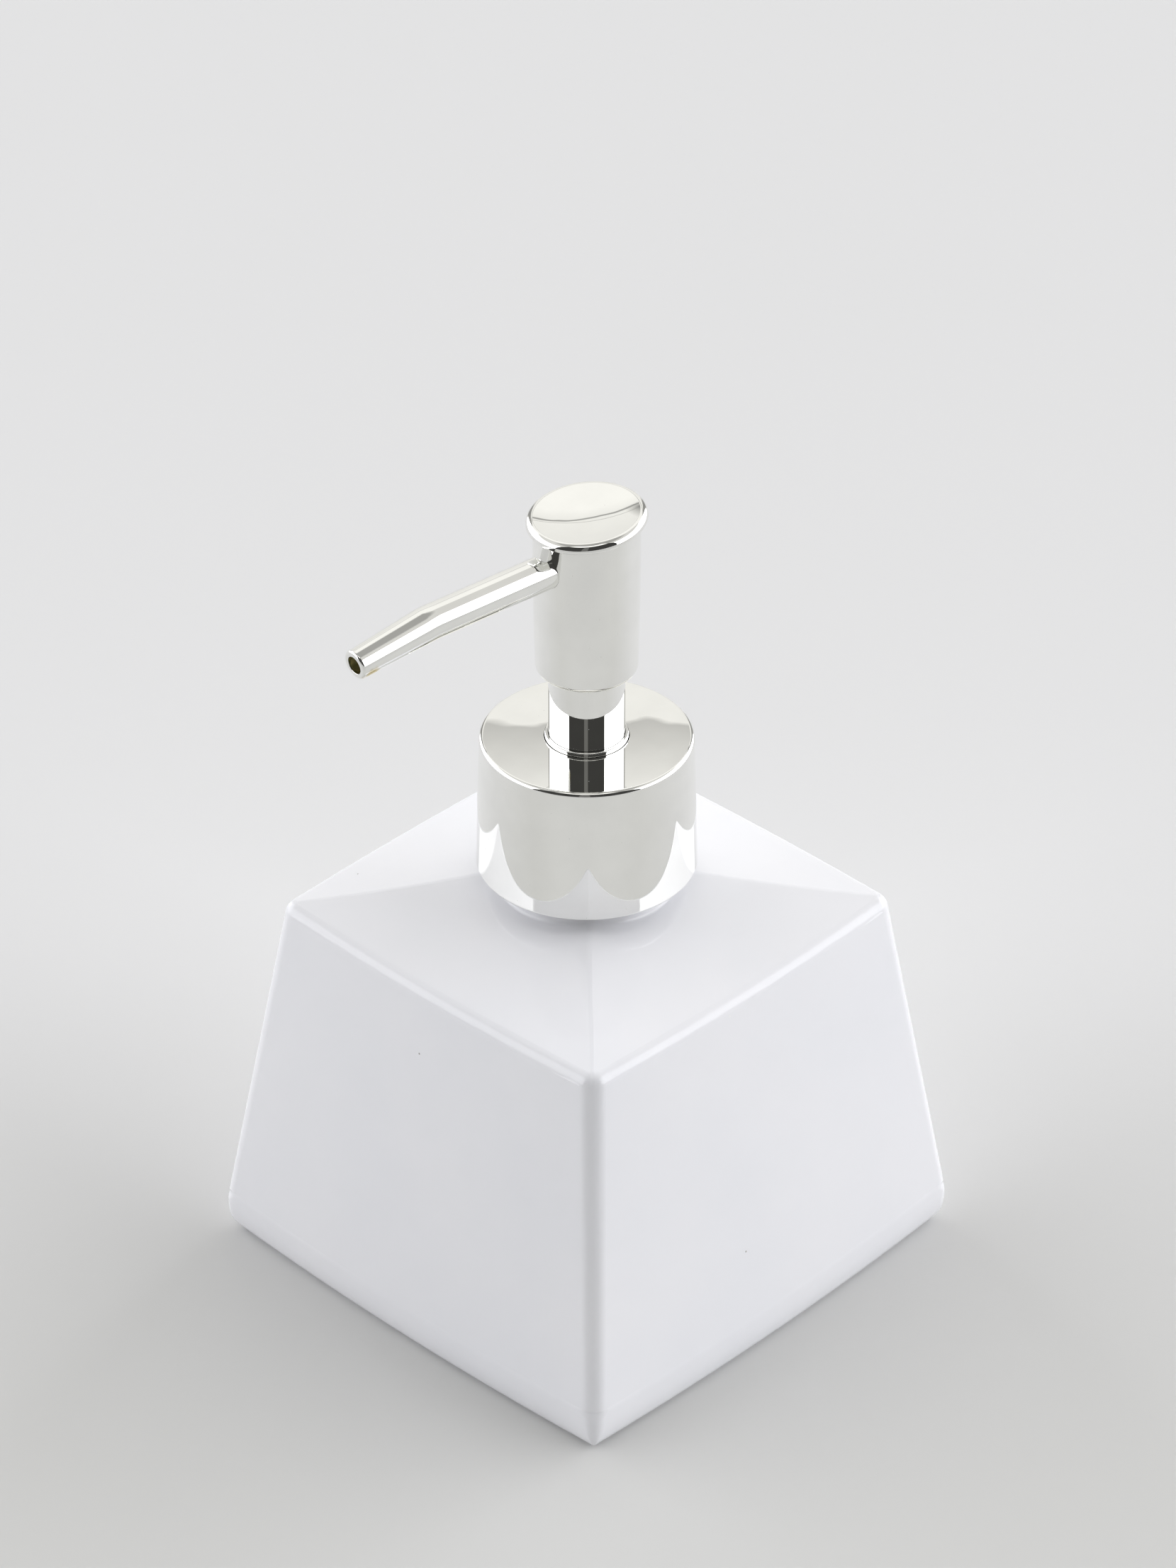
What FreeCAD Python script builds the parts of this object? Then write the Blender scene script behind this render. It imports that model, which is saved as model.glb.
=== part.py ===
import FreeCAD, Part
import math
import os

# Countertop soap pump dispenser: a glazed square bottle with a screw-on
# lotion pump. Millimetres, +Z up, the pump runs on the Z axis.
V = FreeCAD.Vector
UP = V(0, 0, 1)

# Bottle outside
BASE_HALF = 43.08         # wall distance from the axis at the foot, at the corners
BASE_BOW = 1.35           # how far each wall bulges at its middle, at the foot
BASE_CORNER = 2.4
TOP_HALF = 34.25
TOP_BOW = 0.95
TOP_CORNER = 2.8
WALL_TOP = 65.0           # height where the wall lines reach TOP_HALF
FOOT_HEIGHT = 8.28        # the foot is rounded as a quarter ellipse
FOOT_INSET = 3.94
FOOT_STEPS = 9
RIM_FILLET = 2.2
RIDGE_FILLET = 2.0
ROOF_EDGE_Z = 64.7        # where a top facet meets its wall
ROOF_SLOPE = 0.156
ROOF_CURVE = 0.0039
BOSS_R = 14.2
BOSS_TOP_Z = 71.9
BOSS_FILLET = 0.6

# Bottle inside
FLOOR_Z = 5.0
CAVITY_LOW_HALF = 38.0
CAVITY_HIGH_HALF = 31.4
CAVITY_WALL_Z = 57.0
CAVITY_NECK_HALF = 13.0
CAVITY_TOP_Z = 62.5
MOUTH_R = 12.2

# Screw neck
PITCH = 4.233
PLUG_R = 11.9
NECK_BORE_R = 10.3
FLANGE_R = 13.9
FLANGE_TOP_Z = 73.3
FINISH_R = 12.6
FINISH_TOP_Z = 87.0
MALE_CREST_R = 13.6
FEMALE_CREST_R = 13.1
CAP_BORE_R = 14.0
THREAD_Z = 76.0

# Closure
COLLAR_LOW_Z = 72.9
COLLAR_TOP_Z = 96.1
COLLAR_LOW_R = 17.5
COLLAR_TOP_R = 16.8
COLLAR_WALL = 1.1
COLLAR_HOLE_R = 6.7
CAP_LOW_Z = 74.5
LID_Z = 89.1
LID_TOP_Z = 90.5

# Pump body
STROKE = 11.5
CUP_R = 9.2
CUP_BORE_R = 7.95
CUP_FLOOR_Z = 78.0
CYL_R = 6.8
CYL_BORE_R = 5.6
SOCKET_LOW_Z = 33.5
SOCKET_TOP_Z = 40.0
BUSH_LIP_Z = 96.8
BUSH_NECK_R = 6.6
SLEEVE_R = 6.0
SLEEVE_BORE_R = 5.3
RUNNING_GAP = 0.07

# Plunger
STEM_R = 3.5
STEM_BORE_R = 2.2
STEM_LOW_Z = 72.6
STEM_TOP_Z = 118.0
SEAL_LOW_Z = 73.0
SEAL_TOP_Z = 79.4
SPRING_R = 4.1
SPRING_WIRE_R = 0.4
SPRING_LOW_Z = 49.05
SPRING_TURNS = 8
BALL_R = 2.2
BALL_Z = 42.75
BALL_LIFT = 1.5
CHAMBER_Z = BALL_Z + BALL_R + BALL_LIFT + 0.05

# Head
HEAD_LOW_Z = BUSH_LIP_Z + STROKE + 0.25
HEAD_LOW_R = 8.0
HEAD_TOP_R = 8.3
HEAD_BORE_R = 6.9
CORE_TOP_Z = 132.6
WEB_THICK = 2.4
CAP_TILT = 4.7            # top cap falls towards the spout, degrees
CAP_Z = 135.58
CAP_THICK = 1.5
CAP_LONG_R = 9.55
CAP_WIDE_R = 9.12
DISH_DEPTH = 0.85
SPOUT_AZIMUTH = 173.9
SPOUT_Z = 129.05
SPOUT_R = 2.8
SPOUT_TIP_R = 2.35
SPOUT_BORE_R = 1.45
SPOUT_BEND_S = 31.0
SPOUT_BEND_DEG = 7.0
SPOUT_BEND_R = 16.0
SPOUT_TIP_S = 45.0


def ring_solid(points):
    """Turn an (r, z) outline about the Z axis."""
    outline = [V(r, 0, z) for r, z in points]
    face = Part.Face(Part.makePolygon(outline + outline[:1]))
    return face.revolve(V(0, 0, 0), UP, 360)


def tube(outer, inner, low, high):
    return Part.makeCylinder(outer, high - low, V(0, 0, low)).cut(
        Part.makeCylinder(inner, high - low + 2, V(0, 0, low - 1)))


def rod(radius, start, direction, length):
    return Part.makeCylinder(radius, length, start, direction)


def middle(edge):
    return edge.valueAt((edge.FirstParameter + edge.LastParameter) / 2)


def rise(edge):
    return abs(edge.tangentAt((edge.FirstParameter + edge.LastParameter) / 2).z)


def edges_where(shape, test):
    return [edge for edge in shape.Edges if test(edge)]


def circles_at(shape, radius, z):
    """Circular edges about the Z axis with a given radius and height."""
    found = []
    for edge in shape.Edges:
        point = edge.valueAt(edge.FirstParameter)
        far = edge.valueAt((edge.FirstParameter + edge.LastParameter) / 2)
        near_r = abs(math.hypot(point.x, point.y) - radius) < 0.02
        far_r = abs(math.hypot(far.x, far.y) - radius) < 0.02
        if near_r and far_r and abs(point.z - z) < 0.02 and abs(far.z - z) < 0.02:
            found.append(edge)
    return found


def bowed_square(half, bow, corner, z):
    """Rounded square whose four sides bulge outwards a little."""
    straight = half - corner
    end = half + bow * (1 - (straight / half) ** 2)
    radius = end - straight
    reach = straight + radius / math.sqrt(2)
    points = [V(-straight, -end, z), V(0, -(half + bow), z), V(straight, -end, z),
              V(reach, -reach, z), V(end, -straight, z)]
    edges = []
    for quarter in range(4):
        turn = FreeCAD.Rotation(UP, 90 * quarter)
        a, b, c, d, e = [turn.multVec(point) for point in points]
        edges.append(Part.Arc(a, b, c).toShape())
        edges.append(Part.Arc(c, d, e).toShape())
    return Part.Wire(edges)


def outside_section(z, inset=0.0):
    share = z / WALL_TOP
    half = BASE_HALF + (TOP_HALF - BASE_HALF) * share
    bow = BASE_BOW + (TOP_BOW - BASE_BOW) * share
    corner = BASE_CORNER + (TOP_CORNER - BASE_CORNER) * share
    return bowed_square(half - inset, bow, max(corner - inset, 0.4), z)


def foot_sections():
    """Sections of the rounded foot, from the resting face up to the wall."""
    sections = []
    for step in range(FOOT_STEPS + 1):
        angle = math.pi / 2 * (1 - step / FOOT_STEPS)
        inset = FOOT_INSET * (1 - math.cos(angle))
        sections.append(outside_section(FOOT_HEIGHT * (1 - math.sin(angle)), inset))
    return sections


def roof_height(d):
    inwards = TOP_HALF - d
    return ROOF_EDGE_Z + ROOF_SLOPE * inwards + ROOF_CURVE * inwards ** 2


def roof_prism():
    """Long prism with the hollow-curved roof profile, running along Y."""
    far = 60.0
    eave = ROOF_EDGE_Z - ROOF_SLOPE * (far - TOP_HALF)

    def at(x):
        return V(x, -70, roof_height(abs(x)))

    corners = [V(-far, -70, eave), V(-far, -70, -5), V(far, -70, -5), V(far, -70, eave)]
    edges = [Part.makePolygon(corners + [at(TOP_HALF)]).Edges[i] for i in range(4)]
    edges.append(Part.Arc(at(TOP_HALF), at(TOP_HALF / 2), at(0)).toShape())
    edges.append(Part.Arc(at(0), at(-TOP_HALF / 2), at(-TOP_HALF)).toShape())
    edges.append(Part.LineSegment(at(-TOP_HALF), corners[0]).toShape())
    return Part.Face(Part.Wire(edges)).extrude(V(0, 140, 0))


def make_bottle():
    foot = Part.makeLoft(foot_sections(), True, False)
    solid = Part.makeLoft([outside_section(FOOT_HEIGHT), outside_section(75)], True, True)
    roof = roof_prism()
    crossed = roof.copy()
    crossed.rotate(V(0, 0, 0), UP, 90)
    solid = solid.common(roof).common(crossed)
    solid = solid.common(Part.makeBox(140, 140, BOSS_TOP_Z + 5, V(-70, -70, -5)))
    solid = solid.fuse(rod(BOSS_R, V(0, 0, 60), UP, BOSS_TOP_Z - 60)).removeSplitter()

    def is_ridge(edge):
        m = middle(edge)
        on_diagonal = abs(abs(m.x) - abs(m.y)) < 0.05
        return on_diagonal and 60 < m.z < 71 and edge.Length > 15

    def is_rim(edge):
        m = middle(edge)
        outer = max(abs(m.x), abs(m.y)) > 30
        return outer and 60 < m.z < 66.5 and rise(edge) < 0.35

    def is_boss_foot(edge):
        m = middle(edge)
        on_boss = abs(math.hypot(m.x, m.y) - BOSS_R) < 0.05
        return on_boss and 66 < m.z < BOSS_TOP_Z - 0.4 and edge.Length > 3

    solid = solid.makeFillet(RIDGE_FILLET, edges_where(solid, is_ridge))
    solid = solid.makeFillet(RIM_FILLET, edges_where(solid, is_rim))
    solid = solid.makeFillet(BOSS_FILLET, edges_where(solid, is_boss_foot))
    solid = solid.makeFillet(0.4, circles_at(solid, BOSS_R, BOSS_TOP_Z))

    low = bowed_square(CAVITY_LOW_HALF, 1.0, 5.0, FLOOR_Z)
    high = bowed_square(CAVITY_HIGH_HALF, 0.3, 6.0, CAVITY_WALL_Z)
    neck = bowed_square(CAVITY_NECK_HALF, 0.3, 5.0, CAVITY_TOP_Z)
    solid = solid.fuse(foot)
    cavity = Part.makeLoft([low, high], True, True)
    cavity = cavity.makeFillet(3.5, edges_where(cavity, lambda e: abs(middle(e).z - FLOOR_Z) < 0.01))
    shoulder = Part.makeLoft([high, neck], True, True)
    mouth = rod(MOUTH_R, V(0, 0, CAVITY_WALL_Z), UP, 20)
    return solid.cut(cavity).cut(shoulder).cut(mouth)


def thread_ridge(base_r, crest_r, base_width, crest_width, z, turns):
    """Helical ridge of trapezoid section, starting on the +X side."""
    helix = Part.makeHelix(PITCH, PITCH * turns, base_r)
    corners = [V(base_r, 0, -base_width / 2), V(crest_r, 0, -crest_width / 2),
               V(crest_r, 0, crest_width / 2), V(base_r, 0, base_width / 2)]
    profile = Part.makePolygon(corners + corners[:1])
    ridge = Part.Wire(helix.Edges).makePipeShell([profile], True, True)
    ridge.translate(V(0, 0, z))
    return ridge


def make_neck_insert():
    low = CAVITY_TOP_Z + 0.7
    solid = ring_solid([(NECK_BORE_R, low), (PLUG_R, low), (PLUG_R, BOSS_TOP_Z),
                        (FLANGE_R, BOSS_TOP_Z), (FLANGE_R, FLANGE_TOP_Z),
                        (FINISH_R, FLANGE_TOP_Z), (FINISH_R, FINISH_TOP_Z),
                        (NECK_BORE_R, FINISH_TOP_Z)])
    ridge = thread_ridge(FINISH_R - 0.2, MALE_CREST_R, 2.1, 1.2, THREAD_Z, 1.75)
    return solid.fuse(ridge)


def make_closure_cap():
    inside_low = COLLAR_LOW_R - COLLAR_WALL - 0.05
    inside_top = COLLAR_TOP_R - COLLAR_WALL - 0.05
    solid = ring_solid([(CAP_BORE_R, CAP_LOW_Z), (inside_low - 0.05, CAP_LOW_Z),
                        (inside_top, COLLAR_TOP_Z - 1.2), (14.2, COLLAR_TOP_Z - 1.2),
                        (14.2, LID_TOP_Z), (9.0, LID_TOP_Z), (9.0, LID_Z), (CAP_BORE_R, LID_Z)])
    ridge = thread_ridge(CAP_BORE_R + 0.2, FEMALE_CREST_R, 2.1, 1.2,
                         THREAD_Z + PITCH / 2, 1.25)
    return solid.fuse(ridge)


def make_collar_shell():
    top_inside = COLLAR_TOP_Z - 1.2
    solid = ring_solid([(COLLAR_LOW_R, COLLAR_LOW_Z), (COLLAR_TOP_R, COLLAR_TOP_Z),
                        (COLLAR_HOLE_R, COLLAR_TOP_Z), (COLLAR_HOLE_R, top_inside),
                        (COLLAR_TOP_R - COLLAR_WALL, top_inside),
                        (COLLAR_LOW_R - COLLAR_WALL, COLLAR_LOW_Z)])
    solid = solid.makeFillet(1.0, circles_at(solid, COLLAR_TOP_R, COLLAR_TOP_Z))
    return solid.makeFillet(0.45, circles_at(solid, COLLAR_LOW_R, COLLAR_LOW_Z))


def make_pump_housing():
    solid = ring_solid([(CYL_BORE_R, CHAMBER_Z), (CYL_BORE_R, CUP_FLOOR_Z + 1.2),
                        (CUP_BORE_R, CUP_FLOOR_Z + 1.2), (CUP_BORE_R, LID_Z), (13.0, LID_Z),
                        (13.0, LID_Z - 1.2), (CUP_R, LID_Z - 1.2), (CUP_R, CUP_FLOOR_Z),
                        (CYL_R, CUP_FLOOR_Z - 2), (CYL_R, 43.5), (4.4, 40.5),
                        (4.0, SOCKET_LOW_Z), (2.65, SOCKET_LOW_Z), (2.65, SOCKET_TOP_Z),
                        (1.4, SOCKET_TOP_Z), (1.4, 40.9), (2.9, 42.4), (2.9, CHAMBER_Z)])
    vent = rod(0.6, V(0, 0, 81.8), V(1, 0, 0), 12)
    return solid.cut(vent)


def make_guide_bush():
    stem_hole = STEM_R + RUNNING_GAP
    sleeve_hole = SLEEVE_R + RUNNING_GAP
    solid = ring_solid([(stem_hole, 79.5), (7.9, 79.5), (7.9, LID_Z), (8.6, LID_Z),
                        (8.6, LID_Z + 0.9), (BUSH_NECK_R, LID_Z + 0.9),
                        (BUSH_NECK_R, BUSH_LIP_Z), (sleeve_hole, BUSH_LIP_Z),
                        (sleeve_hole, 89.3), (sleeve_hole + 0.3, 88.8),
                        (sleeve_hole + 0.3, 81.5), (stem_hole, 81.5)])
    return solid.makeFillet(0.25, circles_at(solid, BUSH_NECK_R, BUSH_LIP_Z))


def make_ball_cage():
    ring = tube(CYL_BORE_R - 0.05, 3.0, CHAMBER_Z, SPRING_LOW_Z - 0.05)
    for angle in (0, 90):
        bar = Part.makeBox(6.6, 1.2, 1.4, V(-3.3, -0.6, CHAMBER_Z))
        bar.rotate(V(0, 0, 0), UP, angle)
        ring = ring.fuse(bar)
    return ring.removeSplitter()


def make_dip_tube():
    low = 7.6
    solid = tube(2.6, 1.9, low, SOCKET_TOP_Z - 0.05)
    wedge = Part.makeBox(12, 12, 12, V(-6, -6, -12))
    wedge.rotate(V(0, 0, 0), V(0, 1, 0), 38)
    wedge.translate(V(0, 0, low + 2.0))
    return solid.cut(wedge)


def make_piston_seal():
    outer = CYL_BORE_R - 0.05
    inner = STEM_R + RUNNING_GAP
    return ring_solid([(inner, SEAL_LOW_Z), (outer - 0.5, SEAL_LOW_Z), (outer, 73.7),
                       (outer, 74.6), (4.7, 75.3), (4.7, 77.1), (outer, 77.8),
                       (outer, 78.7), (outer - 0.5, SEAL_TOP_Z), (inner, SEAL_TOP_Z)])


def make_piston_stem():
    solid = tube(STEM_R, STEM_BORE_R, STEM_LOW_Z, STEM_TOP_Z)
    for direction in (V(1, 0, 0), V(0, 1, 0)):
        solid = solid.cut(rod(0.8, direction * -5 + V(0, 0, 75.2), direction, 10))
    return solid


def make_return_spring():
    wire_low = SPRING_LOW_Z + SPRING_WIRE_R + 0.05
    wire_high = SEAL_LOW_Z - SPRING_WIRE_R - 0.1
    pitch = (wire_high - wire_low) / SPRING_TURNS
    helix = Part.makeHelix(pitch, wire_high - wire_low, SPRING_R)
    section = Part.Wire(Part.Circle(V(SPRING_R, 0, 0), V(0, 1, 0), SPRING_WIRE_R).toShape())
    spring = Part.Wire(helix.Edges).makePipeShell([section], True, True)
    spring.translate(V(0, 0, wire_low))
    return spring


def make_valve_rod():
    return ring_solid([(0, 65.0), (0.9, 65.0), (1.4, 65.6), (1.4, 70.5), (3.0, 70.5),
                       (3.0, STEM_LOW_Z), (STEM_BORE_R - 0.05, STEM_LOW_Z),
                       (STEM_BORE_R - 0.05, 74.0), (0, 74.0)])


ALONG = V(math.cos(math.radians(SPOUT_AZIMUTH)), math.sin(math.radians(SPOUT_AZIMUTH)), 0)
ACROSS = V(-ALONG.y, ALONG.x, 0)


def on_spout(s, z=SPOUT_Z):
    """Point at distance s from the pump axis along the spout's direction."""
    return ALONG * s + V(0, 0, z)


def disc(centre, direction, radius):
    return Part.Face(Part.Wire(Part.Circle(centre, direction, radius).toShape()))


def bent_rod(start_s, radius, tip_radius, tip_s):
    """Round bar along the spout's bent centre line."""
    swing = math.radians(SPOUT_BEND_DEG)
    run_in = SPOUT_BEND_R * math.tan(swing / 2)
    bend_start = on_spout(SPOUT_BEND_S - run_in)
    straight = rod(radius, on_spout(start_s), ALONG, SPOUT_BEND_S - run_in - start_s)
    pivot = bend_start - UP * SPOUT_BEND_R
    bend = disc(bend_start, ALONG, radius).revolve(pivot, ACROSS, SPOUT_BEND_DEG)
    heading = ALONG * math.cos(swing) - UP * math.sin(swing)
    cone_start = on_spout(SPOUT_BEND_S) + heading * run_in
    length = (tip_s - SPOUT_BEND_S) / math.cos(swing) - run_in
    if abs(radius - tip_radius) < 0.001:
        last = rod(radius, cone_start, heading, length)
    else:
        last = Part.makeCone(radius, tip_radius, length, cone_start, heading)
    return straight.fuse(bend).fuse(last), cone_start + heading * length, heading


def tilted(shape):
    """Lay a shape made flat at the origin into the top cap's place."""
    shape.rotate(V(0, 0, 0), UP, SPOUT_AZIMUTH)
    shape.rotate(V(0, 0, 0), ACROSS, CAP_TILT)
    shape.translate(V(0, 0, CAP_Z))
    return shape


def below_cap(gap):
    """Everything below the top cap's under face."""
    block = Part.makeBox(60, 60, 60, V(-30, -30, -60 - CAP_THICK / 2 - gap))
    return tilted(block)


def make_stem_sleeve():
    return ring_solid([(SLEEVE_BORE_R, 94.0), (SLEEVE_R - 0.3, 94.0), (SLEEVE_R, 94.4),
                       (SLEEVE_R, 110.3), (HEAD_BORE_R - 0.05, 110.3),
                       (HEAD_BORE_R - 0.05, 112.0), (SLEEVE_BORE_R, 112.0)])


def make_head_barrel():
    low = HEAD_LOW_Z
    solid = ring_solid([(HEAD_LOW_R, low), (HEAD_LOW_R + 0.22, 119.0),
                        (HEAD_TOP_R, 128.0), (HEAD_TOP_R, 138.0), (HEAD_BORE_R, 138.0),
                        (HEAD_BORE_R, 110.3), (SLEEVE_R + 0.03, 110.3),
                        (SLEEVE_R + 0.03, low + 1.0), (SLEEVE_R + 0.7, low + 1.0),
                        (SLEEVE_R + 0.7, low)])
    solid = solid.makeFillet(1.1, circles_at(solid, HEAD_LOW_R, low))
    web_low = on_spout(7.3) - ACROSS * WEB_THICK / 2
    web = Part.makePolygon([web_low, web_low + ALONG * 3.2, web_low + ALONG * 0.9 + UP * 7,
                            web_low + UP * 7, web_low])
    web = Part.Face(web).extrude(ACROSS * WEB_THICK)
    web = web.makeFillet(0.9, edges_where(web, lambda e: middle(e).dot(ALONG) > 8.5
                                          and rise(e) > 0.5))
    bore = rod(HEAD_BORE_R, V(0, 0, 111), UP, 30)
    solid = solid.fuse(web.cut(bore))
    solid = solid.cut(rod(SPOUT_R + 0.02, on_spout(2.0), ALONG, 12))
    return solid.common(below_cap(0.0))


def make_top_cap():
    squash = FreeCAD.Matrix()
    squash.scale(CAP_LONG_R / CAP_WIDE_R, 1, 1)
    plate = Part.makeCylinder(CAP_WIDE_R, CAP_THICK, V(0, 0, -CAP_THICK / 2))
    rims = [e for e in plate.Edges if abs(rise(e)) < 0.01 and e.Length > 20]
    plate = plate.makeFillet(0.7, rims)
    dish_r = CAP_WIDE_R - 1.15
    ball_r = (dish_r ** 2 + DISH_DEPTH ** 2) / (2 * DISH_DEPTH)
    dish = Part.makeSphere(ball_r, V(0, 0, CAP_THICK / 2 - DISH_DEPTH + ball_r))
    plate = plate.cut(dish)
    plate = tilted(plate.transformGeometry(squash))
    plug = rod(HEAD_BORE_R - 0.03, V(0, 0, CORE_TOP_Z), UP, 3.2)
    return plate.fuse(plug.common(below_cap(-0.3)))


def make_spout():
    solid, tip, heading = bent_rod(4.95, SPOUT_R, SPOUT_TIP_R, SPOUT_TIP_S)
    tip_edges = [e for e in solid.Edges if (middle(e) - tip).dot(heading) > -0.01]
    solid = solid.makeFillet(0.42, tip_edges)
    lining_way, _, _ = bent_rod(4.0, 1.95, 1.95, SPOUT_TIP_S - 1.6)
    return solid.cut(lining_way).cut(rod(SPOUT_BORE_R, tip - heading * 4, heading, 6))


def make_spout_liner():
    solid, _, _ = bent_rod(5.0, 1.92, 1.92, SPOUT_TIP_S - 1.65)
    way, _, _ = bent_rod(4.0, SPOUT_BORE_R, SPOUT_BORE_R, SPOUT_TIP_S)
    return solid.cut(way)


def make_actuator_core():
    socket = STEM_R + 0.02
    skirt = SLEEVE_BORE_R - 0.06
    solid = ring_solid([(socket, 104.0), (skirt, 104.0), (skirt, 112.05),
                        (HEAD_BORE_R - 0.04, 112.05), (HEAD_BORE_R - 0.04, CORE_TOP_Z - 0.05),
                        (0, CORE_TOP_Z - 0.05), (0, 131.2), (2.0, 131.2), (2.0, 118.05),
                        (socket, 118.05)])
    solid = solid.cut(rod(SPOUT_BORE_R, on_spout(0), ALONG, 9))
    return solid.cut(rod(SPOUT_R + 0.03, on_spout(4.9), ALONG, 9))


def write(name, shape):
    if len(shape.Solids) == 1:
        shape = shape.Solids[0]
    if not shape.isValid() or shape.ShapeType != "Solid":
        raise RuntimeError(name + " is not one valid solid")
    box = shape.BoundBox
    print("%-16s %9.1f mm3  z %.2f to %.2f" % (name, shape.Volume, box.ZMin, box.ZMax))
    shape.exportStep("parts/" + name + ".step")


os.makedirs("parts", exist_ok=True)
NODES = {
    "bottle_body": make_bottle(),
    "neck_insert": make_neck_insert(),
    "insert_bond": tube(MOUTH_R, PLUG_R, CAVITY_TOP_Z + 1.0, BOSS_TOP_Z),
    "neck_gasket": tube(12.4, 10.4, FINISH_TOP_Z, LID_Z - 1.2),
    "closure_cap": make_closure_cap(),
    "collar_shell": make_collar_shell(),
    "guide_bush": make_guide_bush(),
    "pump_housing": make_pump_housing(),
    "ball_cage": make_ball_cage(),
    "inlet_ball": Part.makeSphere(BALL_R, V(0, 0, BALL_Z)),
    "dip_tube": make_dip_tube(),
    "return_spring": make_return_spring(),
    "piston_seal": make_piston_seal(),
    "piston_stem": make_piston_stem(),
    "valve_rod": make_valve_rod(),
    "stem_sleeve": make_stem_sleeve(),
    "head_barrel": make_head_barrel(),
    "top_cap": make_top_cap(),
    "spout": make_spout(),
    "spout_liner": make_spout_liner(),
    "actuator_core": make_actuator_core(),
}
for node, solid in NODES.items():
    write(node, solid)
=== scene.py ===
import math

import bpy
from mathutils import Matrix, Vector


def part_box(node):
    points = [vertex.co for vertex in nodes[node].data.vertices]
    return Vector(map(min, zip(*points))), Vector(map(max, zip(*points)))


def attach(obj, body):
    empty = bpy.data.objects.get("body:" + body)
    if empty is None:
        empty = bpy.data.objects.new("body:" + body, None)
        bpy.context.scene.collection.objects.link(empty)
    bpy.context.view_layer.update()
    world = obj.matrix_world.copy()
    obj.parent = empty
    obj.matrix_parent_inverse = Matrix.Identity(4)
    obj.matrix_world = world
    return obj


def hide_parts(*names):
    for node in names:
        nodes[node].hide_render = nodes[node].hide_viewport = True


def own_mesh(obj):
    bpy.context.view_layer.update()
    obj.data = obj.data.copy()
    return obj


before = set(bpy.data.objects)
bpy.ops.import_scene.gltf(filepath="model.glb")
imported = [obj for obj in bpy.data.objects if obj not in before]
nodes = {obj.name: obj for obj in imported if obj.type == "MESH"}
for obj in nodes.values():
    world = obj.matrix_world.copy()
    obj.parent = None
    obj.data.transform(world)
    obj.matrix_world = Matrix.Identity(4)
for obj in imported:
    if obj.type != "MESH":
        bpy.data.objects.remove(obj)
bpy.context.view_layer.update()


# ---------------------------------------------------------------- materials

def new_material(name):
    """An empty Principled material: (material, its node tree, the shader)."""
    mat = bpy.data.materials.new(name)
    mat.use_nodes = True
    tree = mat.node_tree
    return mat, tree, tree.nodes["Principled BSDF"]


def set_inputs(shader, **values):
    for key, value in values.items():
        shader.inputs[key.replace("_", " ")].default_value = value


def place(tree):
    """Object coordinates, in metres."""
    return tree.nodes.new("ShaderNodeTexCoord").outputs["Object"]


def noise(tree, size, detail=2.0, roughness=0.5):
    """Noise whose features are about `size` metres across."""
    node = tree.nodes.new("ShaderNodeTexNoise")
    node.inputs["Scale"].default_value = 1.0 / size
    node.inputs["Detail"].default_value = detail
    node.inputs["Roughness"].default_value = roughness
    tree.links.new(place(tree), node.inputs["Vector"])
    return node.outputs["Fac"]


def ramp(tree, value, low, high, out_low, out_high):
    """Map value from low..high to out_low..out_high, clamped."""
    node = tree.nodes.new("ShaderNodeMapRange")
    node.inputs["From Min"].default_value = low
    node.inputs["From Max"].default_value = high
    node.inputs["To Min"].default_value = out_low
    node.inputs["To Max"].default_value = out_high
    tree.links.new(value, node.inputs["Value"])
    return node.outputs["Result"]


def mixed(tree, factor, first, second):
    """Mix two colours, each a tuple or a socket."""
    node = tree.nodes.new("ShaderNodeMix")
    node.data_type = "RGBA"
    tree.links.new(factor, node.inputs["Factor"])
    for socket, colour in ((node.inputs["A"], first), (node.inputs["B"], second)):
        if isinstance(colour, tuple):
            socket.default_value = (*colour, 1.0)
        else:
            tree.links.new(colour, socket)
    return node.outputs["Result"]


def bump(tree, shader, height, distance, after=None):
    """Bump of `distance` metres, on top of an earlier bump if one is given."""
    node = tree.nodes.new("ShaderNodeBump")
    node.inputs["Strength"].default_value = 1.0
    node.inputs["Distance"].default_value = distance
    tree.links.new(height, node.inputs["Height"])
    if after is not None:
        tree.links.new(after, node.inputs["Normal"])
    tree.links.new(node.outputs["Normal"], shader.inputs["Normal"])
    return node.outputs["Normal"]


def math_node(tree, operation, first, second=None):
    """One maths step; each value is a number or a socket."""
    node = tree.nodes.new("ShaderNodeMath")
    node.operation = operation
    for socket, value in zip(node.inputs, (first, second)):
        if isinstance(value, (int, float)):
            socket.default_value = value
        elif value is not None:
            tree.links.new(value, socket)
    return node.outputs["Value"]


def specks(tree, spacing, radius, share):
    """Small round spots in a share of the cells: 1 inside a spot, 0 outside."""
    cells = tree.nodes.new("ShaderNodeTexVoronoi")
    cells.inputs["Scale"].default_value = 1.0 / spacing
    tree.links.new(place(tree), cells.inputs["Vector"])
    edge = radius / spacing
    spot = ramp(tree, cells.outputs["Distance"], edge * 0.6, edge, 1.0, 0.0)
    pick = tree.nodes.new("ShaderNodeSeparateColor")
    tree.links.new(cells.outputs["Color"], pick.inputs["Color"])
    chosen = math_node(tree, "LESS_THAN", pick.outputs["Red"], share)
    return math_node(tree, "MULTIPLY", spot, chosen)


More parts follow.
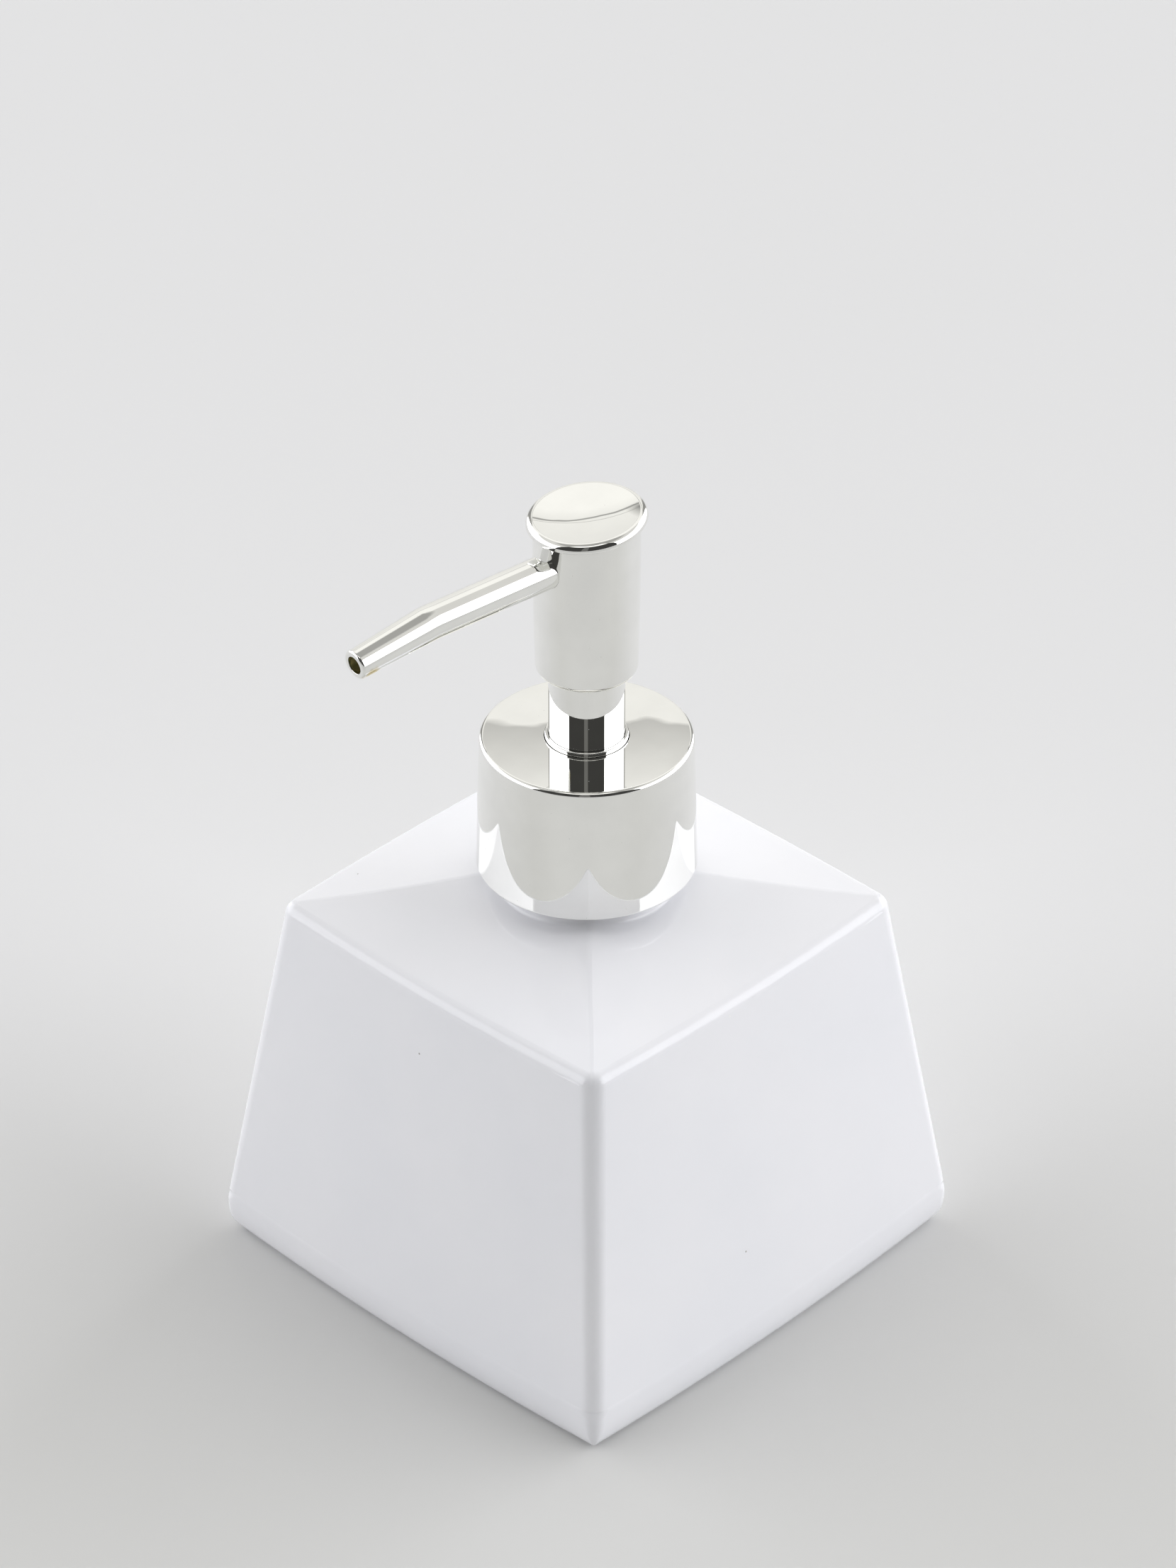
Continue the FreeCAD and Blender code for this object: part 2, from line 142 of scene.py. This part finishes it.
def near_point(tree, point, inner, outer):
    """1 within `inner` metres of a point, 0 beyond `outer`, with a ragged edge."""
    node = tree.nodes.new("ShaderNodeVectorMath")
    node.operation = "DISTANCE"
    tree.links.new(place(tree), node.inputs[0])
    node.inputs[1].default_value = point
    ragged = ramp(tree, noise(tree, 0.0012, 3.0), 0.0, 1.0, -0.0006, 0.0006)
    distance = math_node(tree, "ADD", node.outputs["Value"], ragged)
    return ramp(tree, distance, inner, outer, 1.0, 0.0)


def glaze_material():
    """White gloss glaze with a faint lavender tint, pinholes and a wavy skin."""
    mat, tree, shader = new_material("white_glaze")
    tint = mixed(tree, ramp(tree, noise(tree, 0.03, 3.0), 0.35, 0.65, 0.0, 1.0),
                 (0.845, 0.85, 0.88), (0.87, 0.87, 0.895))
    pale = specks(tree, 0.0051, 0.00022, 0.16)
    dark = specks(tree, 0.0074, 0.00020, 0.22)
    colour = mixed(tree, pale, tint, (0.90, 0.90, 0.90))
    colour = mixed(tree, dark, colour, (0.36, 0.34, 0.31))
    tree.links.new(colour, shader.inputs["Base Color"])
    rough = ramp(tree, noise(tree, 0.012, 2.0), 0.3, 0.7, 0.02, 0.05)
    tree.links.new(rough, shader.inputs["Roughness"])
    skin = bump(tree, shader, noise(tree, 0.010, 2.0), 0.00010)
    bump(tree, shader, dark, -0.00005, after=skin)
    set_inputs(shader, IOR=1.52)
    return mat


def chrome_material(name, colour=(0.925, 0.925, 0.900), stain=None):
    """Bright plating over plastic, with a faint film, dust and an optional worn spot."""
    mat, tree, shader = new_material(name)
    dull = tuple(c * 0.97 for c in colour)
    base = mixed(tree, ramp(tree, noise(tree, 0.005, 4.0), 0.35, 0.65, 0.0, 1.0), colour, dull)
    dust = specks(tree, 0.0016, 0.00007, 0.5)
    base = mixed(tree, dust, base, (0.75, 0.75, 0.73))
    film = ramp(tree, noise(tree, 0.003, 5.0, 0.65), 0.55, 0.85, 0.0, 0.03)
    if stain is not None:
        worn = near_point(tree, stain, 0.0009, 0.0017)
        base = mixed(tree, worn, base, (0.62, 0.52, 0.26))
        film = math_node(tree, "ADD", film, math_node(tree, "MULTIPLY", worn, 0.15))
    tree.links.new(base, shader.inputs["Base Color"])
    tree.links.new(film, shader.inputs["Roughness"])
    tree.links.new(ramp(tree, dust, 0.0, 1.0, 1.0, 0.0), shader.inputs["Metallic"])
    bump(tree, shader, noise(tree, 0.008, 1.0), 0.000002)
    return mat


def plastic_material(name, colour, rough=0.42, mottle=0.92, grain=0.0006, depth=0.00002):
    """Moulded plastic with fine grain and slight mottling."""
    mat, tree, shader = new_material(name)
    darker = tuple(c * mottle for c in colour)
    mottled = mixed(tree, noise(tree, 0.004, 3.0), colour, darker)
    tree.links.new(mottled, shader.inputs["Base Color"])
    level = ramp(tree, noise(tree, 0.002, 3.0), 0.3, 0.7, rough - 0.06, rough + 0.08)
    tree.links.new(level, shader.inputs["Roughness"])
    bump(tree, shader, noise(tree, grain, 2.0), depth)
    set_inputs(shader, IOR=1.49, Subsurface_Weight=0.15, Subsurface_Scale=0.002)
    return mat


def steel_material(name, colour=(0.62, 0.62, 0.63)):
    mat, tree, shader = new_material(name)
    dark = tuple(c * 0.8 for c in colour)
    tree.links.new(mixed(tree, noise(tree, 0.001, 4.0), colour, dark), shader.inputs["Base Color"])
    level = ramp(tree, noise(tree, 0.0005, 3.0), 0.3, 0.7, 0.18, 0.32)
    tree.links.new(level, shader.inputs["Roughness"])
    bump(tree, shader, noise(tree, 0.0003, 2.0), 0.00001)
    set_inputs(shader, Metallic=1.0)
    return mat


def give(node, material):
    mesh = nodes[node].data
    mesh.materials.clear()
    mesh.materials.append(material)


natural = plastic_material("natural_plastic", (0.80, 0.81, 0.79), 0.36)
soft_white = plastic_material("seal_plastic", (0.86, 0.86, 0.84), 0.30)
moulded = plastic_material("cap_plastic", (0.74, 0.74, 0.73), 0.45)
finish_of = {
    "bottle_body": glaze_material(),
    "neck_insert": plastic_material("neck_plastic", (0.82, 0.82, 0.80), 0.40),
    "insert_bond": plastic_material("bond", (0.62, 0.57, 0.46), 0.55, 0.85),
    "neck_gasket": plastic_material("gasket", (0.70, 0.70, 0.68), 0.60),
    "closure_cap": moulded,
    "actuator_core": moulded,
    "pump_housing": natural,
    "ball_cage": natural,
    "dip_tube": natural,
    "piston_stem": natural,
    "piston_seal": soft_white,
    "valve_rod": soft_white,
    "return_spring": steel_material("spring_wire"),
    "inlet_ball": steel_material("ball_steel", (0.7, 0.7, 0.71)),
    "spout_liner": plastic_material("spout_lining", (0.30, 0.26, 0.10), 0.45, 0.7),
}
spout_low, spout_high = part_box("spout")
plating = chrome_material("plating")
for plated in ("collar_shell", "guide_bush", "stem_sleeve", "head_barrel", "top_cap"):
    finish_of[plated] = plating
finish_of["spout"] = chrome_material(
    "spout_plating",
    stain=(spout_low[0] + 0.0019, spout_high[1] - 0.0046, spout_low[2] + 0.0008))
for node, material in finish_of.items():
    give(node, material)


# ---------------------------------------------------------------- smooth plated skins

AROUND = 224              # points round each ring of a skin
SPRING_TURNS = 8
RINGS_A_TURN = 40

# Sizes of the skins and the spring, in millimetres
COLLAR_LOW = 72.9
COLLAR_TOP = 96.1
COLLAR_CEILING = 94.9
COLLAR_LOW_R = 17.5
COLLAR_TOP_R = 16.8
COLLAR_HOLE_R = 6.7
COLLAR_WALL = 1.1
CAP_HEIGHT = 135.58
CAP_TILT = 4.7            # degrees
CAP_LONG_R = 9.55
CAP_WIDE_R = 9.12
CAP_HALF = 0.75           # half the cap's thickness
DISH_R = 7.97
DISH_DEPTH = 0.85
PLUG_R = 6.5
PLUG_DEPTH = 1.5
SPOUT_AZIMUTH = 173.9     # degrees
SPOUT_HEIGHT = 129.05
SPOUT_ROOT = 4.95
SPOUT_R = 2.8
SPOUT_TIP_R = 2.35
SPOUT_BORE_R = 1.45
SPOUT_LINING_R = 1.95
SPOUT_LAST_RUN = 13.127
LIP_DEPTH = 1.6
BEND_START = 30.0216
BEND_SWING = math.radians(7.0)
BEND_RADIUS = 16.0
SPRING_LOW = 49.5
SPRING_HIGH = 72.5
SPRING_R = 4.1
SPRING_WIRE_R = 0.4


def rounded(corners):
    """Samples (r, s, normal r, normal s) round an outline of (r, s, radius)
    corners, in millimetres; the solid lies to the left of the way round."""
    samples = []
    count = len(corners)
    for index, (r, s, radius) in enumerate(corners):
        here = Vector((r, s))
        before = (here - Vector(corners[index - 1][:2])).normalized()
        after = (Vector(corners[(index + 1) % count][:2]) - here).normalized()
        turn = math.atan2(before.x * after.y - before.y * after.x, before.dot(after))
        inner = Vector((-before.y, before.x)) * math.copysign(1, turn)
        start = here - before * (radius * math.tan(abs(turn) / 2))
        steps = max(6, round(math.degrees(abs(turn)) / 5)) if abs(turn) > 0.001 else 0
        for step in range(steps + 1):
            bend = abs(turn) * step / max(steps, 1)
            point = start + before * (radius * math.sin(bend))
            point += inner * (radius * (1 - math.cos(bend)))
            heading = before * math.cos(bend) + inner * math.sin(bend)
            samples.append((point.x, point.y, heading.y, -heading.x))
    return samples


def turned(name, samples, frame_at, node, body, material, squash=1.0):
    """Turn samples about a straight or bent axis, with exact normals, and put
    the piece in a CAD node's place. frame_at(s) gives (centre, three axes)."""
    points, normals, rings = [], [], []
    for r, s, normal_r, normal_s in samples:
        centre, first, second, heading = frame_at(s)
        around = AROUND if r > 1e-6 else 1
        rings.append(range(len(points), len(points) + around))
        for step in range(around):
            angle = math.tau * step / around
            c, n = math.cos(angle), math.sin(angle)
            points.append((centre + first * (r * c * squash) + second * (r * n)) * 0.001)
            flat = normal_r if around > 1 else 0.0
            normal = first * (flat * c / squash) + second * (flat * n) + heading * normal_s
            normals.append(normal.normalized())
    closed = len(rings[0]) > 1 and len(rings[-1]) > 1
    faces = []
    for index in range(len(rings) if closed else len(rings) - 1):
        low, high = rings[index], rings[(index + 1) % len(rings)]
        for step in range(AROUND):
            a, b = low[step % len(low)], low[(step + 1) % len(low)]
            c, d = high[(step + 1) % len(high)], high[step % len(high)]
            faces.append(tuple(dict.fromkeys((a, b, c, d))))
    mesh = bpy.data.meshes.new(name)
    mesh.from_pydata(points, [], faces)
    mesh.materials.append(material)
    mesh.shade_smooth()
    mesh.normals_split_custom_set_from_vertices(normals)
    piece = bpy.data.objects.new(name, mesh)
    bpy.context.scene.collection.objects.link(piece)
    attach(piece, body)
    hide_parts(node)


def upright(s):
    return Vector((0, 0, s)), Vector((1, 0, 0)), Vector((0, 1, 0)), Vector((0, 0, 1))


SPOUT_TURN = Matrix.Rotation(math.radians(SPOUT_AZIMUTH), 3, "Z")
ALONG = SPOUT_TURN @ Vector((1, 0, 0))
ACROSS = SPOUT_TURN @ Vector((0, 1, 0))
CAP_TURN = Matrix.Rotation(math.radians(CAP_TILT), 3, ACROSS) @ SPOUT_TURN


def cap_frame(s):
    """The top cap's tilted plane."""
    first, second, heading = CAP_TURN.col
    return Vector((0, 0, CAP_HEIGHT)) + heading * s, first, second, heading


def spout_frame(s):
    """Point and axes on the spout's centre line, which bends down near its tip."""
    swing = min(max((s - BEND_START) / BEND_RADIUS, 0.0), BEND_SWING)
    heading = ALONG * math.cos(swing) - Vector((0, 0, math.sin(swing)))
    centre = ALONG * min(s, BEND_START) + Vector((0, 0, SPOUT_HEIGHT))
    centre += ALONG * (BEND_RADIUS * math.sin(swing))
    centre -= Vector((0, 0, BEND_RADIUS * (1 - math.cos(swing))))
    centre += heading * max(s - BEND_START - BEND_RADIUS * BEND_SWING, 0.0)
    return centre, ACROSS, heading.cross(ACROSS), heading


def make_collar():
    outline = [(COLLAR_LOW_R, COLLAR_LOW, 0.45), (COLLAR_TOP_R, COLLAR_TOP, 0.7),
               (COLLAR_HOLE_R, COLLAR_TOP, 0.05), (COLLAR_HOLE_R, COLLAR_CEILING, 0.05),
               (COLLAR_TOP_R - COLLAR_WALL, COLLAR_CEILING, 0.05),
               (COLLAR_LOW_R - COLLAR_WALL, COLLAR_LOW, 0.05)]
    turned("collar_skin", rounded(outline), upright, "collar_shell", "closure",
           plating)


def make_cap():
    """The dished cap and the plug below it, turned and then made oval."""
    foot = -CAP_HALF - PLUG_DEPTH
    ball = (DISH_R ** 2 + DISH_DEPTH ** 2) / (2 * DISH_DEPTH)
    dish = ball * math.tan(math.asin(DISH_R / ball) / 2)
    dish_floor = CAP_HALF - DISH_DEPTH
    outline = [(0.0, foot, 0.0), (PLUG_R, foot, 0.2), (PLUG_R, -CAP_HALF, 0.1),
               (CAP_WIDE_R, -CAP_HALF, 0.35), (CAP_WIDE_R, CAP_HALF, 1.1),
               (DISH_R, CAP_HALF, 0.3), (dish, dish_floor, ball), (0.0, dish_floor, 0.0)]
    samples = [(0.0, foot, 0.0, -1.0)] + rounded(outline)[7:-7]
    turned("cap_skin", samples, cap_frame, "top_cap", "head", plating,
           squash=CAP_LONG_R / CAP_WIDE_R)


def make_spout():
    end = BEND_START + BEND_RADIUS * BEND_SWING
    tip = end + SPOUT_LAST_RUN
    bend = [BEND_START + (end - BEND_START) * step / 6 for step in range(7)]
    outline = [(SPOUT_R, s, 0.0) for s in bend[:-1]] + [(SPOUT_R, end, 12.0)]
    outline += [(SPOUT_TIP_R, tip, 0.42), (SPOUT_BORE_R, tip, 0.08),
                (SPOUT_BORE_R, tip - LIP_DEPTH, 0.04), (SPOUT_LINING_R, tip - LIP_DEPTH, 0.04)]
    outline += [(SPOUT_LINING_R, s, 0.0) for s in reversed(bend)]
    outline += [(SPOUT_LINING_R, SPOUT_ROOT, 0.04), (SPOUT_R, SPOUT_ROOT, 0.08)]
    turned("spout_skin", rounded(outline), spout_frame, "spout", "head",
           finish_of["spout"])


def make_spring():
    """The return spring, drawn at one fixed length: it does not shorten as the pump is pressed."""
    around = 12
    rings = SPRING_TURNS * RINGS_A_TURN
    rise = SPRING_HIGH - SPRING_LOW
    points, normals, faces = [], [], []
    for index in range(rings + 1):
        swing = math.tau * SPRING_TURNS * index / rings
        out = Vector((math.cos(swing), math.sin(swing), 0))
        centre = out * SPRING_R + Vector((0, 0, SPRING_LOW + rise * index / rings))
        for step in range(around):
            angle = math.tau * step / around
            normal = out * math.cos(angle) + Vector((0, 0, math.sin(angle)))
            points.append((centre + normal * SPRING_WIRE_R) * 0.001)
            normals.append(normal)
            if index < rings:
                here, beside = index * around + step, index * around + (step + 1) % around
                faces.append((here, here + around, beside + around, beside))
    faces.append(tuple(range(around)))
    faces.append(tuple(reversed(range(rings * around, (rings + 1) * around))))
    mesh = bpy.data.meshes.new("return_coil")
    mesh.from_pydata(points, [], faces)
    mesh.materials.append(finish_of["return_spring"])
    mesh.shade_smooth()
    mesh.normals_split_custom_set_from_vertices(normals)
    piece = bpy.data.objects.new("return_coil", mesh)
    bpy.context.scene.collection.objects.link(piece)
    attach(piece, "pump_engine")
    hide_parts("return_spring")
    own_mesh(piece)


make_collar()
make_cap()
make_spout()
make_spring()


# ---------------------------------------------------------------- studio

AZIMUTH = math.radians(-46.10)
PITCH = math.radians(33.84)
TARGET = Vector((0, 0, 0.060))
SENSOR = 36.0             # millimetres, the height of the frame
LENS = 132.14             # millimetres
DISTANCE = 0.91471        # metres from the target, with small shifts to frame it
SHIFT_RIGHT = 0.00020
SHIFT_UP = 0.02227
facing = Vector((math.sin(AZIMUTH), -math.cos(AZIMUTH), 0))
towards = facing * math.cos(PITCH) + Vector((0, 0, math.sin(PITCH)))
right = Vector((math.cos(AZIMUTH), math.sin(AZIMUTH), 0))
upward = towards.cross(right)


def along(tree, vector, axis):
    """How far a vector socket reaches along a fixed axis."""
    node = tree.nodes.new("ShaderNodeVectorMath")
    node.operation = "DOT_PRODUCT"
    tree.links.new(vector, node.inputs[0])
    node.inputs[1].default_value = axis
    return node.outputs["Value"]


def stage_material():
    """Pale seamless paper, with painted shade: darker towards the camera, and darker still nearest
    it.
    """
    mat, tree, shader = new_material("paper")
    # painted shade: the paper's colour darkens towards the camera, standing in for light falling
    # off
    painted_shade_ramp = ramp(tree, along(tree, place(tree), facing), -0.07, 0.09, 0.0, 1.0)
    cloudy = ramp(tree, noise(tree, 0.12, 2.0), 0.3, 0.7, -0.03, 0.03)
    colour = mixed(tree, math_node(tree, "ADD", painted_shade_ramp, cloudy),
                   (0.725, 0.725, 0.725), (0.645, 0.645, 0.63))
    # painted shade: the paper nearest the camera is darker still
    painted_shade_nearest = ramp(tree, along(tree, place(tree), facing), 0.13, 0.30, 0.0, 1.0)
    colour = mixed(tree, painted_shade_nearest, colour, (0.57, 0.57, 0.56))
    tree.links.new(colour, shader.inputs["Base Color"])
    bump(tree, shader, noise(tree, 0.002, 2.0), 0.00002)
    set_inputs(shader, Roughness=0.9, Specular_IOR_Level=0.1)
    return mat


def make_floor():
    mesh = bpy.data.meshes.new("floor")
    reach = 30.0
    corners = [(-reach, -reach, 0), (reach, -reach, 0), (reach, reach, 0), (-reach, reach, 0)]
    mesh.from_pydata(corners, [], [(0, 1, 2, 3)])
    mesh.materials.append(stage_material())
    floor = bpy.data.objects.new("floor", mesh)
    bpy.context.scene.collection.objects.link(floor)


def make_camera():
    camera = bpy.data.objects.new("camera", bpy.data.cameras.new("camera"))
    camera.data.sensor_fit = "VERTICAL"
    camera.data.sensor_height = SENSOR
    camera.data.lens = LENS
    camera.data.clip_start = 0.01
    camera.data.clip_end = 60.0
    camera.rotation_euler = Matrix((right, upward, towards)).transposed().to_euler()
    camera.location = TARGET + towards * DISTANCE + right * SHIFT_RIGHT + upward * SHIFT_UP
    bpy.context.scene.collection.objects.link(camera)
    bpy.context.scene.camera = camera


LEFT_LEVEL = 2.48
RIGHT_LEVEL = 3.09
DARK_LEVEL = 0.05
GAP_LEVEL = 0.30
SIDE_LEVEL = 0.72
TOP_LEVEL = 0.40
STRIP_LEVEL = 1.5
STAND_LEVEL = 0.16
SEAM_LEVEL = 0.40


def make_world():
    """A light tent: two bright side panels, a pale back sheet with a wavy top
    edge, a bright ceiling, and a dark opening on the camera's side."""
    world = bpy.data.worlds.new("tent")
    world.use_nodes = True
    tree = world.node_tree
    direction = tree.nodes.new("ShaderNodeTexCoord").outputs["Generated"]
    across = along(tree, direction, right)
    ahead = along(tree, direction, facing)
    bearing = math_node(tree, "DEGREES", math_node(tree, "ARCTAN2", across, ahead))
    side = math_node(tree, "ABSOLUTE", bearing)
    rise = math_node(tree, "ARCSINE", along(tree, direction, (0, 0, 1)))
    height = math_node(tree, "DEGREES", rise)

    wave_noise = tree.nodes.new("ShaderNodeTexNoise")
    wave_noise.inputs["Scale"].default_value = 60.0
    tree.links.new(direction, wave_noise.inputs["Vector"])
    wave = ramp(tree, wave_noise.outputs["Fac"], 0.3, 0.7, -0.06, 0.06)
    lifted = math_node(tree, "ADD", height, wave)
    sheet = ramp(tree, height, 0.0, 33.2, 0.84, 0.93)
    ceiling = math_node(tree, "ADD", ramp(tree, lifted, 33.25, 34.0, 0.58, 0.93),
                        ramp(tree, height, 37.0, 43.0, 0.0, 0.10))
    above = ramp(tree, lifted, 33.22, 33.26, 0.0, 1.0)

    def blend(factor, first, second):
        node = tree.nodes.new("ShaderNodeMix")
        tree.links.new(factor, node.inputs["Factor"])
        for socket, value in ((node.inputs["A"], first), (node.inputs["B"], second)):
            if isinstance(value, float):
                socket.default_value = value
            else:
                tree.links.new(value, socket)
        return node.outputs["Result"]

    def between(value, low, high, soft):
        """1 from low to high, fading out over `soft` degrees past each end."""
        return math_node(tree, "MULTIPLY", ramp(tree, value, low - soft, low, 0.0, 1.0),
                         ramp(tree, value, high, high + soft, 1.0, 0.0))

    def both(first, second):
        return math_node(tree, "MULTIPLY", first, second)

    level = blend(above, sheet, ceiling)
    swell = tree.nodes.new("ShaderNodeTexNoise")
    swell.inputs["Scale"].default_value = 5.0
    tree.links.new(direction, swell.inputs["Vector"])
    rolling = math_node(tree, "ADD", height, ramp(tree, swell.outputs["Fac"], 0.3, 0.7, -0.9, 0.9))
    level = blend(between(rolling, 35.5, 36.1, 0.5), level, SEAM_LEVEL)
    level = blend(ramp(tree, side, 146.0, 151.0, 1.0, 0.0), level, SIDE_LEVEL)
    level = blend(ramp(tree, height, 60.0, 66.0, 0.0, 1.0), level, TOP_LEVEL)
    panel = both(between(side, 55.5, 147.0, 2.0), ramp(tree, height, 41.0, 46.0, 1.0, 0.0))
    panel_level = ramp(tree, bearing, -1.0, 1.0, LEFT_LEVEL, RIGHT_LEVEL)
    level = blend(panel, level, panel_level)
    gap = both(between(side, 151.0, 160.0, 4.0), ramp(tree, height, 34.0, 38.0, 1.0, 0.0))
    level = blend(gap, level, GAP_LEVEL)
    ahead_of_lens = ramp(tree, side, 53.5, 55.5, 1.0, 0.0)
    dark = ramp(tree, between(bearing, -7.0, 3.0, 1.0), 0.0, 1.0, DARK_LEVEL, STAND_LEVEL)
    level = blend(both(ahead_of_lens, ramp(tree, height, 61.0, 64.0, 1.0, 0.0)), level, dark)
    level = blend(both(ahead_of_lens, between(height, 66.0, 76.0, 2.0)), level, STRIP_LEVEL)

    tint = mixed(tree, panel, (1.0, 0.99, 0.955), (0.985, 0.99, 1.02))
    back = tree.nodes["Background"]
    tree.links.new(tint, back.inputs["Color"])
    tree.links.new(level, back.inputs["Strength"])
    bpy.context.scene.world = world


make_floor()
make_camera()
make_world()

view = bpy.context.scene.view_settings
view.view_transform = "Standard"
view.look = "None"
